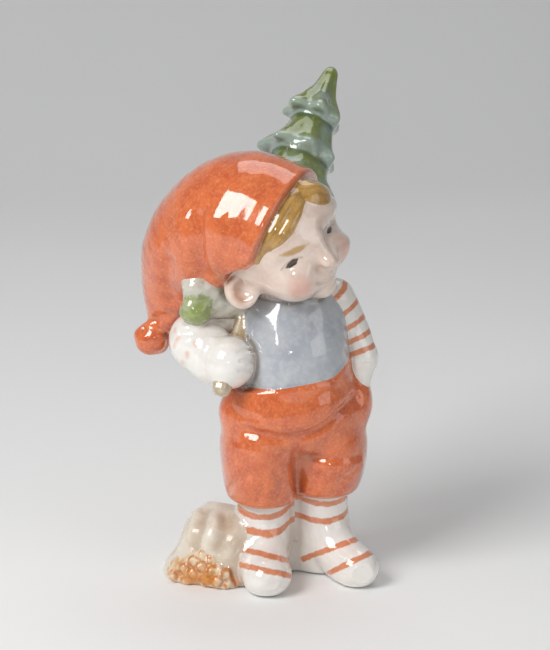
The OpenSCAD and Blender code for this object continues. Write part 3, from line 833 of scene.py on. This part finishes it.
class Piece:
    """One piece: its share of the softened figure, meshed."""

    def __init__(self, name):
        (self.body,) = [b for b in BODIES if name in b.pieces]
        self.own = self.body.pieces[name]
        self.rest = [shape for key, shape in self.body.pieces.items() if key != name]
        self.room = Form(self.own, name, room=ROOM.get(name, USUAL_ROOM))
        self.near = [b.whole for b in BODIES if b is not self.body
            and np.all(b.whole.lo < self.room.hi + 1) and np.all(b.whole.hi > self.room.lo - 1)]
        self.step = STEP.get(name, USUAL_STEP) * COARSE

    def parts(self, p):
        """The softened surface of the whole figure, and the wall towards the neighbours."""
        own = self.body.whole(p)
        others = [f(p) for f in self.near] or [np.full(len(p), 50.0)]
        low = np.min(others, axis=0)
        wall = np.maximum((own - low) / 2, np.maximum(self.room.lo - p, p - self.room.hi).max(1))
        if self.rest:
            wall = np.maximum(wall, (self.own(p) - np.min([f(p) for f in self.rest], axis=0)) / 2)
        least = np.minimum(own, low)
        total = np.exp((least - own) / SOFTEN)
        for d in others:
            total += np.exp((least - d) / SOFTEN)
        return np.maximum(least - SOFTEN * np.log(total), -p[:, 2]), wall

    def field(self, p):
        return np.maximum(*self.parts(p))

    def sample(self):
        """Values on a grid, worked out only in the blocks that the surface can reach."""
        block, step = 6, self.step
        lo = self.room.lo - 2 * step
        count = np.ceil((self.room.hi + 2 * step - lo) / (block * step)).astype(int)
        grid = np.meshgrid(*[np.arange(n) for n in count], indexing="ij")
        corner = np.stack(grid, -1).reshape(-1, 3) * block
        middle = self.field(lo + (corner + (block - 1) / 2) * step)
        values = np.repeat(np.repeat(np.repeat(middle.reshape(count), block, 0), block, 1), block, 2)
        inner = np.stack(np.meshgrid(*[np.arange(block)] * 3, indexing="ij"), -1).reshape(-1, 3)
        half_diagonal, steepest, slack = block * step * 0.87, 1.35, 0.2
        close = np.abs(middle) < half_diagonal * steepest + slack
        for some in np.array_split(corner[close], max(1, close.sum() // 400)):
            cells = (some[:, None] + inner).reshape(-1, 3)
            values[tuple(cells.T)] = self.field(lo + cells * step)
        return values, lo

    @staticmethod
    def without_specks(values):
        """Clears lone samples, which would leave specks and pinholes in the mesh."""
        for _ in range(2):
            inside = values < 0
            near = [np.roll(inside, shift, axis) for axis in range(3) for shift in (-1, 1)]
            around = np.sum(near, axis=0)
            values = np.where(inside & (around < 2), 1e-3, values)
            values = np.where(~inside & (around > 4), -1e-3, values)
        return values

    def surface(self):
        """Points and four-sided faces of the surface."""
        values, lo = self.sample()
        values = self.without_specks(values)
        inside = values < 0
        corners = [(i, j, k) for i in (0, 1) for j in (0, 1) for k in (0, 1)]
        n = np.array(values.shape) - 1
        part = [inside[i : i + n[0], j : j + n[1], k : k + n[2]] for i, j, k in corners]
        mixed = np.any(part, axis=0) & ~np.all(part, axis=0)
        cells = np.argwhere(mixed)
        index = np.full(mixed.shape, -1)
        index[mixed] = np.arange(len(cells))
        at = {c: values[tuple((cells + c).T)] for c in corners}
        total, hits = np.zeros((len(cells), 3)), np.zeros(len(cells))
        for a in corners:
            for axis in range(3):
                if a[axis] == 0:
                    b = tuple(v + (i == axis) for i, v in enumerate(a))
                    cross = (at[a] < 0) != (at[b] < 0)
                    share = at[a][cross] / (at[a][cross] - at[b][cross])
                    total[cross] += np.array(a) + share[:, None] * np.eye(3)[axis]
                    hits[cross] += 1
        points = lo + (cells + total / hits[:, None]) * self.step
        faces = []
        for axis in range(3):
            u, v = (axis + 1) % 3, (axis + 2) % 3
            one, two = [slice(None)] * 3, [slice(None)] * 3
            one[axis], two[axis] = slice(0, -1), slice(1, None)
            edges = np.argwhere(inside[tuple(one)] != inside[tuple(two)])
            way = inside[tuple(one)][tuple(edges.T)]
            eu, ev = np.eye(3, dtype=int)[u], np.eye(3, dtype=int)[v]
            quad = np.stack([index[tuple((edges - o).T)] for o in (eu + ev, ev, 0 * eu, eu)], 1)
            faces.append(np.where(way[:, None], quad, quad[:, ::-1]))
        return self.settle(points), np.concatenate(faces)

    def slopes(self, p):
        """Both fields and their gradients."""
        nudge = 0.03
        total, wall = self.parts(p)
        moved = [self.parts(p + nudge * np.eye(3)[i]) for i in range(3)]
        gt = np.stack([(m[0] - total) / nudge for m in moved], 1)
        gw = np.stack([(m[1] - wall) / nudge for m in moved], 1)
        return total, wall, gt, gw

    def settle(self, p):
        """Moves the points onto the surface, and those at a seam onto the line of the seam."""
        start = p.copy()
        for _ in range(3):
            total, wall, gt, gw = self.slopes(p)
            tt, ww, tw = (np.einsum("ij,ij->i", a, b) for a, b in ((gt, gt), (gw, gw), (gt, gw)))
            tt, ww = np.maximum(tt, 0.05), np.maximum(ww, 0.05)
            det = tt * ww - tw * tw
            close = np.maximum(np.abs(total), np.abs(wall)) < 0.8 * self.step
            seam = close & (det > 0.1 * tt * ww)
            outer = total >= wall
            move = np.where(outer[:, None], gt * (total / tt)[:, None], gw * (wall / ww)[:, None])
            det = np.where(seam, det, 1)
            by_total, by_wall = (ww * total - tw * wall) / det, (tt * wall - tw * total) / det
            move = np.where(seam[:, None], gt * by_total[:, None] + gw * by_wall[:, None], move)
            p = p - np.clip(move, -0.5 * self.step, 0.5 * self.step)
        return start + np.clip(p - start, -self.step, self.step)

    def hollows(self, p):
        """How deep each point lies in a fold or close to a neighbour, which sets its painted shade, and
        how sharply it stands out.
        """
        total, _, gt, _ = self.slopes(p)
        n = gt / np.maximum(size_of(gt), 0.2)[:, None]
        recess = [np.clip((t - self.parts(p + n * t)[0] + total) / t, 0, 1) for t in FOLD_REACH]
        edge = np.clip((self.parts(p - n * EDGE_REACH)[0] + EDGE_REACH) / EDGE_REACH, 0, 1)
        return np.mean(recess, axis=0), edge


def make_piece(name):
    piece = Piece(name)
    points, faces = piece.surface()
    recess, edge = piece.hollows(points)
    return name, points, faces, {"recess": recess, "edge": edge}


# Paint, as distances to its edge at the points of a piece
BAND_REACH = 5.0


def bands(p, shape, lines, half, along=None):
    """Distance to the edge of painted bands through two pixels each.

    They run round a limb that lies along a direction. Where none is given they run straight back from the
    camera, as far as BAND_REACH behind the middle of their line.
    """
    best = np.full(len(p), 50.0)
    for line in lines:
        a, b = seen(shape, *line)
        across = unit(b - a)
        n = np.cross(a - CAMERA_AT, b - CAMERA_AT) if along is None else along - (along @ across) * across
        d = np.abs((p - a) @ unit(n)) - half
        if along is None:
            d = np.maximum(d, ((a + b) / 2 - p) @ CAMERA_BACK - BAND_REACH)
        best = np.minimum(best, d)
    return best


SHIN_STRIPES = {-1: [((245, 512.5), (284, 511)), ((247, 527), (285, 526.5))],
    1: [((302, 498), (342, 500)), ((299, 515), (342, 516))]}
FOOT_STRIPES = {-1: [((253, 552), (289, 560.5)), ((250, 567), (289, 575.5))],
    1: [((311, 556), (349, 542)), ((328, 573.5), (362, 557))]}
SLEEVE_STRIPES = [((341, 292.6), (345.4, 283.5)), ((340, 316.5), (357, 301)),
    ((345, 329.5), (364, 313.5)), ((352, 341), (370, 330.5)), ((359, 352), (374, 345))]
# Stripes of the right sleeve, painted only as short pale dabs and left out elsewhere, as if washed out by
# light: a painted highlight over real stripes
SLEEVE_DABS = [((175, 329), (175, 332)), ((178, 338), (174, 347)), ((195, 343), (195.5, 345)),
    ((187, 353), (187, 357)), ((183, 362), (182, 367))]
# Half widths of the stripes, the way of a shin, and the height where its stripes end and the foot's begin
STOCKING_BAND, SLEEVE_BAND = 0.75, 0.7
SHIN_WAY, FOOT_TOP = vec(0, -0.25, 0.97), 12.5
RING_R = 1.5


def stocking_stripes(p, side):
    shin = bands(p, legs, SHIN_STRIPES[side], STOCKING_BAND, SHIN_WAY)
    foot = bands(p, legs, FOOT_STRIPES[side], STOCKING_BAND)
    return np.where(p[:, 2] < FOOT_TOP, foot, shin)


def left_sleeve_stripes(p):
    along = LEFT_SLEEVE_ROWS[-1, :3] - LEFT_SLEEVE_ROWS[0, :3]
    return bands(p, left_arm, SLEEVE_STRIPES, SLEEVE_BAND, along)


def chip_rings(p):
    return np.min([np.abs(size_of(p - at) - RING_R) for at in CHIP_FACES], axis=0) - 0.3


def sleeve_dabs(p):
    return np.min([to_line(p, seen(right_sleeve, *line)) - 0.5 for line in SLEEVE_DABS], axis=0)


def strokes(p, *lines):
    """Distance to the edge of brush strokes, each given as its points and their radii."""
    return np.min([tube(p, np.column_stack(line)) for line in lines], axis=0)


PAINT = {
    "hair_fringe": {"strand": strands},
    "wood_chips": {"ring": chip_rings},
    # Painted shade inside the right ear
    "right_ear": {"hollow": lambda p: to_line(p, EAR_SHADE_LINE)},
    # Brown in the stump's furrows: partly its own brown wash, partly painted shade
    "stump": {"furrow_shade": lambda p: np.min([to_line(p, line) for line in BARK_FURROWS], axis=0)},
    "lowest_boughs": {"patch": lambda p: ellipsoid(p, STUB_LOBE + vec(-0.4, -1.0, 0.6), (4.4, 5.0, 4.4))},
    "right_leg": {"stripe": lambda p: stocking_stripes(p, -1)},
    "left_leg": {"stripe": lambda p: stocking_stripes(p, 1)},
    "left_sleeve": {"stripe": left_sleeve_stripes},
    "right_sleeve": {"dab": sleeve_dabs},
    "head": {
        "eye": lambda p: strokes(p, (NEAR_EYE, (0.1, 0.7, 0.85, 0.25)), (FAR_EYE, (0.3, 0.7, 0.3))),
        "lid": lambda p: np.minimum(to_line(p, NEAR_LID), to_line(p, FAR_LID)) - 0.2,
        "brow": lambda p: strokes(p, (NEAR_BROW, (0.2, 0.8, 0.95, 0.35)), (FAR_BROW, (0.15, 0.45, 0.3))),
        "lip": lambda p: to_line(p, MOUTH) - 0.32,
        "blush": lambda p: np.min([size_of(p - c) for c in CHEEKS], axis=0),
    },
}


# Glazes
def colour(r, g, b):
    """Linear colour from the 0 to 255 values of a screen."""
    c = np.array((r, g, b), float) / 255
    c = np.where(c <= 0.04045, c / 12.92, ((c + 0.055) / 1.055) ** 2.4)
    return (*c.tolist(), 1.0)


class Glaze:
    """Material of a painted and glazed piece, built up from nodes."""

    def __init__(self, name):
        self.material = bpy.data.materials.new(name)
        self.material.use_nodes = True
        self.tree = self.material.node_tree
        self.tree.nodes.clear()
        self.place = self.add("ShaderNodeTexCoord").outputs["Object"]

    def add(self, kind, inputs=None, **settings):
        """Adds a node with its settings, and links or sets its inputs."""
        node = self.tree.nodes.new(kind)
        for key, value in settings.items():
            setattr(node, key, value)
        for key, value in (inputs or {}).items():
            if isinstance(value, bpy.types.NodeSocket):
                self.tree.links.new(value, node.inputs[key])
            else:
                node.inputs[key].default_value = value
        return node

    def noise(self, scale, detail=3.0, rough=0.55, lo=0.35, hi=0.65):
        """Noise spread over 0 to 1, with lumps of about 1 / scale metres."""
        inputs = {"Vector": self.place, "Scale": scale, "Detail": detail, "Roughness": rough}
        return self.range(self.add("ShaderNodeTexNoise", inputs).outputs["Fac"], lo, hi)

    def range(self, value, lo, hi, to_lo=0.0, to_hi=1.0):
        inputs = {"Value": value, "From Min": lo, "From Max": hi, "To Min": to_lo, "To Max": to_hi}
        return self.add("ShaderNodeMapRange", inputs, interpolation_type="SMOOTHSTEP").outputs["Result"]

    def math(self, kind, a, b):
        return self.add("ShaderNodeMath", {0: a, 1: b}, operation=kind).outputs[0]

    def mix(self, share, a, b):
        inputs = {"Factor": share, "A": a, "B": b}
        return self.add("ShaderNodeMix", inputs, data_type="RGBA").outputs["Result"]

    def attribute(self, name):
        return self.add("ShaderNodeAttribute", attribute_name=name).outputs["Fac"]

    def wash(self, base, mask, share, paint):
        """Lays a share of paint over the base where the mask is up."""
        return self.mix(self.math("MULTIPLY", mask, share), base, paint)

    def painted(self, base, name, paint, soft=0.2, wobble=0.25, strength=0.9):
        """Adds paint inside the distance held in an attribute, with an uneven hand-made edge."""
        edge = self.math("MULTIPLY", self.noise(600, 2, lo=0.3, hi=0.7), wobble)
        inside = self.math("SUBTRACT", self.attribute(name), edge)
        mask = self.range(self.math("ADD", inside, wobble / 2), soft, -soft)
        body = self.noise(900, 3, lo=0.3, hi=0.75)
        tint = self.mix(body, paint, self.lighter(paint, 0.25))
        return self.wash(base, mask, strength, tint)

    @staticmethod
    def lighter(c, share):
        return tuple(min(1.0, v * (1 + share)) for v in c[:3]) + (1.0,)

    def close(self, **inputs):
        """Ends the material with a shader, whose inputs are named with low lines."""
        inputs = {key.replace("_", " "): value for key, value in inputs.items()}
        shader = self.add("ShaderNodeBsdfPrincipled", inputs)
        self.add("ShaderNodeOutputMaterial", {"Surface": shader.outputs["BSDF"]})
        return self.material

    def finish(self, base, rough=(0.06, 0.12), coat=1.0):
        """Ends the material with a clear glaze over its colour and a slightly uneven surface."""
        uneven = {"Strength": 0.05, "Distance": 0.0004, "Height": self.noise(420, 2, lo=0.2, hi=0.8)}
        return self.close(
            Base_Color=base,
            Roughness=self.range(self.noise(300, 3), 0, 1, *rough),
            Normal=self.add("ShaderNodeBump", uneven).outputs["Normal"],
            IOR=1.5,
            Coat_Weight=coat,
            Coat_Roughness=0.03,
            Coat_IOR=1.55,
        )

    def mottled(self, base, deep, pale, blotch=330, speck=1300, speck_share=0.5):
        """Washes of one colour: blotches between deep and base, and fine pale specks."""
        blotches = self.mix(self.noise(blotch, 4, 0.6, 0.3, 0.62), deep, base)
        return self.wash(blotches, self.noise(speck, 3, 0.6, 0.42, 0.8), speck_share, pale)

    def shade_in_folds(self, base, recess, edge, fold_shade_share=0.8, edge_share=0.5):
        """Painted shade in the folds and between pieces, where the glaze also pools darker, and glaze
        that thins out paler on the edges.
        """
        # Painted shade, partly glaze that pools: the first colour is laid into the folds and the gaps
        # between pieces
        pooled = self.wash(base, self.range(self.attribute("recess"), 0.12, 0.6), fold_shade_share, recess)
        return self.wash(pooled, self.range(self.attribute("edge"), 0.1, 0.55), edge_share, edge)


# In every glaze below, the first colour given to the fold step is painted shade for the folds and the
# gaps between pieces, partly standing for glaze that pools there
WHITE = colour(243, 239, 233)
CREAM = colour(234, 224, 208)
ORANGE = colour(222, 112, 58)
ORANGE_DEEP = colour(200, 88, 42)
ORANGE_PALE = colour(240, 170, 126)
STRIPE = colour(208, 122, 74)


def porcelain(name, recess, paints=()):
    g = Glaze(name)
    c = g.mottled(WHITE, colour(236, 230, 222), colour(248, 246, 242), 160, 700, 0.5)
    c = g.shade_in_folds(c, recess, colour(246, 242, 236), 0.55, 0.2)
    for attribute, paint, soft, strength in paints:
        c = g.painted(c, attribute, paint, soft, strength=strength)
    return g.finish(c)


def orange_glaze(name):
    g = Glaze(name)
    c = g.mottled(ORANGE, ORANGE_DEEP, ORANGE_PALE, 240, 1300, 0.4)
    return g.finish(g.shade_in_folds(c, colour(140, 58, 24), colour(236, 158, 112), 0.75, 0.3))


def jumper_glaze():
    g = Glaze("jumper_glaze")
    c = g.mottled(colour(184, 187, 191), colour(166, 171, 179), colour(204, 205, 208), 150, 600, 0.4)
    # Olive-brown painted shade in the folds and under the chin
    return g.finish(g.shade_in_folds(c, colour(112, 104, 88), colour(206, 208, 210), 0.75, 0.3))


def skin_glaze():
    g = Glaze("skin_glaze")
    c = g.mottled(colour(232, 211, 197), colour(222, 196, 180), colour(240, 225, 214), 160, 900, 0.3)
    c = g.shade_in_folds(c, colour(152, 106, 78), colour(240, 224, 212), 0.75, 0.2)
    c = g.wash(c, g.range(g.attribute("blush"), 5.4, 0.6), 0.5, colour(222, 150, 130))
    c = g.painted(c, "lip", colour(120, 66, 46), 0.25, 0.05, 0.85)
    c = g.painted(c, "lid", colour(150, 110, 92), 0.25, 0.05, 0.6)
    c = g.painted(c, "brow", colour(176, 134, 62), 0.35, 0.2, 0.85)
    c = g.painted(c, "eye", colour(46, 24, 12), 0.16, 0.05, 0.97)
    return g.finish(c)


def ear_glaze(name, shaded):
    g = Glaze(name)
    c = g.mottled(colour(234, 214, 200), colour(224, 198, 182), colour(242, 229, 219), 160, 900, 0.3)
    if shaded:
        # Painted shade along the inside of the hollow of the right ear
        c = g.wash(c, g.range(g.attribute("hollow"), 2.6, 0.2), 0.6, colour(164, 106, 64))
    return g.finish(g.shade_in_folds(c, colour(150, 98, 62), colour(244, 232, 224), 0.9, 0.4))


def hair_glaze():
    g = Glaze("hair_glaze")
    c = g.mottled(colour(190, 146, 76), colour(164, 120, 54), colour(212, 178, 118), 260, 1000, 0.4)
    c = g.wash(c, g.range(g.attribute("strand"), 0.1, 1.0), 0.3, colour(140, 100, 44))
    return g.finish(g.shade_in_folds(c, colour(104, 68, 24), colour(214, 178, 116), 0.95, 0.5))


def fir_glaze():
    g = Glaze("fir_glaze")
    c = g.mix(g.noise(80, 2, 0.5, 0.4, 0.54), colour(118, 138, 126), colour(112, 124, 40))
    c = g.wash(c, g.noise(240, 3, 0.6, 0.48, 0.68), 0.5, colour(80, 90, 44))
    c = g.wash(c, g.noise(520, 3, 0.6, 0.5, 0.75), 0.35, colour(150, 168, 150))
    return g.finish(g.shade_in_folds(c, colour(56, 74, 62), colour(180, 198, 188), 0.7, 0.6))


def stub_glaze():
    g = Glaze("stub_glaze")
    c = g.mottled(colour(206, 202, 188), colour(178, 176, 158), colour(226, 224, 214), 200, 900, 0.5)
    c = g.painted(c, "patch", colour(124, 142, 50), 0.8, 1.6, 0.85)
    return g.finish(g.shade_in_folds(c, colour(112, 100, 74), colour(222, 224, 210), 0.7, 0.4))


def trunk_glaze():
    g = Glaze("trunk_glaze")
    c = g.mottled(colour(206, 190, 162), colour(172, 148, 114), colour(226, 214, 194), 300, 1000, 0.4)
    return g.finish(g.shade_in_folds(c, colour(140, 114, 82), colour(226, 216, 196), 0.6, 0.5))


def bark_glaze():
    g = Glaze("bark_glaze")
    c = g.mottled(CREAM, colour(220, 205, 184), colour(242, 235, 224), 160, 700, 0.4)
    # Brown in the furrows: partly the stump's own brown wash, partly painted shade
    c = g.wash(c, g.range(g.attribute("furrow_shade"), 3.4, 0.4), 0.55, colour(176, 148, 116))
    c = g.shade_in_folds(c, colour(160, 126, 92), colour(238, 232, 220), 0.9, 0.2)
    return g.finish(c, (0.22, 0.34), coat=0.35)


def chip_glaze():
    g = Glaze("chip_glaze")
    c = g.mix(g.noise(160, 3, 0.6, 0.42, 0.66), colour(236, 216, 184), colour(212, 142, 58))
    c = g.painted(c, "ring", colour(188, 108, 34), 0.35, 0.6, 0.85)
    c = g.shade_in_folds(c, colour(178, 98, 30), colour(244, 232, 210), 1.0, 0.3)
    return g.finish(c, (0.16, 0.28), coat=0.5)


STRIPED = [("stripe", STRIPE, 0.2, 0.92)]
# Faint pale dabs of the right sleeve's stripes: a painted highlight over real stripes
HIGHLIT_DABS = [("dab", colour(222, 150, 104), 0.6, 0.5)]
# Each glaze with its slot and the pieces that it covers; the colour given to porcelain is its painted
# shade in the folds
GLAZES = [
    (porcelain("stocking_glaze", colour(176, 150, 128), STRIPED),
        "stocking_glaze", "right_leg", "left_leg"),
    (porcelain("web_glaze", colour(170, 146, 126)), "stocking_glaze", "leg_web"),
    (porcelain("sleeve_glaze", colour(178, 152, 130), STRIPED), "sleeve_glaze", "left_sleeve"),
    (porcelain("highlit_sleeve_glaze", colour(178, 152, 130), HIGHLIT_DABS), "sleeve_glaze", "right_sleeve"),
    (porcelain("hand_glaze", colour(172, 140, 116)), "hand_glaze", "right_fist", "left_hand"),
    (orange_glaze("breeches_glaze"), "breeches_glaze", "breeches"),
    (orange_glaze("hat_glaze"), "hat_glaze", "hat", "hat_tip"),
    (jumper_glaze(), "jumper_glaze", "torso"),
    (skin_glaze(), "skin_glaze", "head"),
    (ear_glaze("ear_glaze", True), "skin_glaze", "right_ear"),
    (ear_glaze("far_ear_glaze", False), "skin_glaze", "left_ear"),
    (hair_glaze(), "hair_glaze", "hair_fringe"),
    (fir_glaze(), "fir_glaze", *TIERS),
    (stub_glaze(), "fir_glaze", "lowest_boughs"),
    (trunk_glaze(), "trunk_glaze", "tree_trunk"),
    (bark_glaze(), "bark_glaze", "stump"),
    (chip_glaze(), "chip_glaze", "wood_chips"),
]
FINISH = {name: (material, slot) for material, slot, *names in GLAZES for name in names}


def mesh_object(name, points, faces, values):
    mesh = bpy.data.meshes.new(name)
    mesh.from_pydata((points * MM).tolist(), [], faces.tolist())
    mesh.validate()
    for key, value in values.items():
        mesh.attributes.new(key, "FLOAT", "POINT").data.foreach_set("value", value.astype(np.float32))
    mesh.shade_smooth()
    mesh.set_sharp_from_angle(angle=math.radians(55))
    made = bpy.data.objects.new(name, mesh)
    bpy.context.scene.collection.objects.link(made)
    return made


with ThreadPoolExecutor(4) as workers:
    made_pieces = list(workers.map(make_piece, [name for body in BODIES for name in body.pieces]))
for name, points, faces, values in made_pieces:
    for key, paint in PAINT.get(name, {}).items():
        values[key] = paint(points)
    piece = mesh_object("glazed_" + name, points, faces, values)
    material, slot = FINISH[name]
    piece.data.materials.append(material)
    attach(piece, "root")
    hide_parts(name)


# Floor that sweeps up into a backdrop, in metres
FLOOR_FRONT, FLOOR_SIDE = -1.6, 2.2
BEND_AT, BEND_R, WALL_TOP = 0.5, 0.5, 2.2


def sweep():
    profile = [(FLOOR_FRONT, 0.0), (BEND_AT, 0.0)]
    for a in np.linspace(0.1, 1.57, 14):
        profile.append((BEND_AT + BEND_R * math.sin(a), BEND_R - BEND_R * math.cos(a)))
    profile.append((BEND_AT + BEND_R, WALL_TOP))
    points = [(x, y, z) for y, z in profile for x in (-FLOOR_SIDE, FLOOR_SIDE)]
    faces = [(2 * i, 2 * i + 1, 2 * i + 3, 2 * i + 2) for i in range(len(profile) - 1)]
    mesh = bpy.data.meshes.new("floor")
    mesh.from_pydata(points, [], faces)
    mesh.shade_smooth()
    floor = bpy.data.objects.new("floor", mesh)
    bpy.context.scene.collection.objects.link(floor)
    g = Glaze("floor_paper")
    paper = g.mix(g.noise(5, 1), colour(244, 244, 243), colour(246, 246, 245))
    mesh.materials.append(g.close(Base_Color=paper, Roughness=0.7))


# Lamps, each with its place and size in metres and its watts, aimed at the middle of the figure
LAMPS = {
    "key": ((-0.46, -0.27, 0.52), (0.34, 0.36), 3.4),
    "fill": ((0.55, -0.62, 0.3), (0.5, 0.5), 0.8),
    "top": ((0.12, 0.3, 0.8), (0.5, 0.4), 1.0),
    "front": ((-0.2, -0.75, 0.27), (0.02, 0.02), 0.4),
}
LAMP_AIM = vec(-0.005, 0.0, 0.068)


def lamp(name, at, size, watts):
    light = bpy.data.lights.new(name, "AREA")
    light.shape = "RECTANGLE"
    light.size, light.size_y = size
    light.energy = watts
    made = bpy.data.objects.new(name, light)
    made.location = at
    aim = LAMP_AIM - np.array(at)
    tilt = math.acos(-aim[2] / np.linalg.norm(aim))
    made.rotation_euler = (tilt, 0, math.atan2(aim[1], aim[0]) - math.pi / 2)
    bpy.context.scene.collection.objects.link(made)


sweep()
for name, settings in LAMPS.items():
    lamp(name, *settings)

world = bpy.data.worlds.new("studio")
world.use_nodes = True
background = world.node_tree.nodes["Background"]
background.inputs["Color"].default_value = colour(236, 238, 240)
background.inputs["Strength"].default_value = 0.3
scene = bpy.context.scene
scene.world = world
scene.view_settings.view_transform = "Standard"

camera = bpy.data.cameras.new("camera")
camera.sensor_width = CAMERA_SENSOR
camera.lens = CAMERA_LENS
camera.clip_start, camera.clip_end = 0.01, 20
camera_object = bpy.data.objects.new("camera", camera)
camera_object.location = CAMERA_AT * MM
camera_object.rotation_euler = (math.radians(90 - CAMERA_ELEVATION), 0, math.radians(CAMERA_AZIMUTH))
scene.collection.objects.link(camera_object)
scene.camera = camera_object
